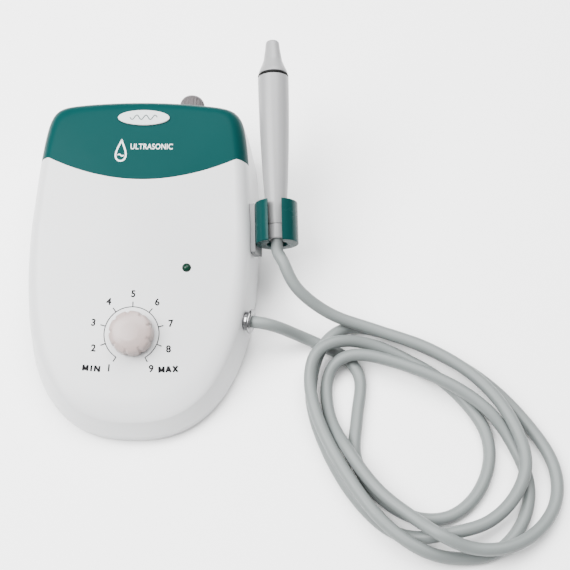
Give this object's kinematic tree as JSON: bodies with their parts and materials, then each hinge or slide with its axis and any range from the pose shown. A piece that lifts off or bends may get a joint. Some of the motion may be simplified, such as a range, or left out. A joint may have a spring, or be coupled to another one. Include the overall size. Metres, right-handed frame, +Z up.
{
  "type": "ultrasonic scaler",
  "caption": "Tabletop dental ultrasonic scaler with a sloping dial face, green rear cover, side holder, pencil-shaped handpiece and looped hand lead.",
  "frame": {"origin": "on the table, under the centre of the unit's bounding box without the hand lead", "axes": "+Z up from the table, +Y from the low front of the casing to its high rear, +X to the side with the holder"},
  "size_m": [0.3409, 0.3339, 0.0865],
  "materials": {
    "white_plastic": "smooth moulded, light gloss",
    "green_plastic": "smooth moulded, light gloss",
    "clip_green_plastic": "smooth moulded",
    "pale_print": "plain plate",
    "knob_plastic": "fine satin",
    "grey_plastic": "fine satin",
    "black_plastic": "satin",
    "foot_rubber": "matte",
    "lamp_green": "clear tinted lens",
    "silicone_grey": "smooth silicone",
    "handpiece_plastic": "satin",
    "seal_rubber": "matte",
    "chromed_brass": "polished",
    "brass": "machined",
    "steel": "machined",
    "aluminium": "machined",
    "board_green": "solder mask on glass-fibre board",
    "copper_winding": "enamelled winding",
    "piezo_ceramic": "fired ceramic rings",
    "water_tube": "flexible tube"
  },
  "bodies": {
    "unit": {"upper_shell": "white_plastic", "rear_cover": "green_plastic", "base_tray": "white_plastic", "case_screw_1": "steel", "case_screw_2": "steel", "case_screw_3": "steel", "case_screw_4": "steel", "foot_1": "foot_rubber", "foot_2": "foot_rubber", "foot_3": "foot_rubber", "foot_4": "foot_rubber", "badge_plate": "pale_print", "pot_body": "aluminium", "pot_nut": "brass", "indicator_led": "lamp_green", "led_holder": "black_plastic", "main_board": "board_green", "board_screw_1": "steel", "board_screw_2": "steel", "board_screw_3": "steel", "board_screw_4": "steel", "transformer_core": "black_plastic", "transformer_winding": "copper_winding", "heat_sink": "aluminium", "power_transistor": "black_plastic", "capacitor_1": "black_plastic", "capacitor_2": "black_plastic", "board_connector": "pale_print", "rear_panel": "grey_plastic", "power_socket": "black_plastic", "foot_switch_socket": "steel", "switch_frame": "black_plastic", "regulator_body": "brass", "water_inlet": "chromed_brass", "valve_body": "brass", "valve_coil": "black_plastic", "valve_spring": "steel", "inlet_tube": "water_tube", "valve_tube": "water_tube", "lead_tube": "water_tube", "lead_gland": "chromed_brass", "gland_nut": "brass", "holder_clip": "clip_green_plastic", "holder_bracket": "white_plastic", "holder_screw": "steel", "hand_lead": "silicone_grey"},
    "power_dial": {"power_knob": "knob_plastic", "pot_shaft": "steel"},
    "water_dial": {"water_knob": "grey_plastic", "needle_spindle": "brass"},
    "switch_rocker": {"power_rocker": "black_plastic"},
    "valve_core": {"valve_plunger": "steel"},
    "handpiece": {"handpiece_tail": "handpiece_plastic", "handpiece_sleeve": "handpiece_plastic", "handpiece_seal": "seal_rubber", "handpiece_nose": "handpiece_plastic", "transducer_horn": "aluminium", "piezo_stack": "piezo_ceramic", "back_mass": "steel"}
  },
  "joints": [
    {"name": "power_dial_turn", "type": "hinge", "parent": "unit", "child": "power_dial", "pos_m": [-0.0136, -0.0716, 0.03662], "axis": [0, 0.3063, -0.9519], "range_deg": [0, 297]},
    {"name": "water_dial_turn", "type": "hinge", "parent": "unit", "child": "water_dial", "pos_m": [0.0134, 0.0866, 0.046], "axis": [0, 1, 0], "range_deg": [0, 270]},
    {"name": "switch_rock", "type": "hinge", "parent": "unit", "child": "switch_rocker", "pos_m": [-0.0496, 0.0866, 0.034], "axis": [1, 0, 0], "range_deg": [0, 16]},
    {"name": "valve_stroke", "type": "slide", "parent": "unit", "child": "valve_core", "axis": [0, 0, 1], "range_m": [0, 0.003], "stiffness_N_per_m": 300, "springref_m": -0.001, "deforming": ["valve_spring"]},
    {"name": "handpiece_lift", "type": "slide", "parent": "unit", "child": "handpiece", "axis": [-0.0424, 0.9554, 0.2924], "range_m": [0, 0.035]}
  ]
}
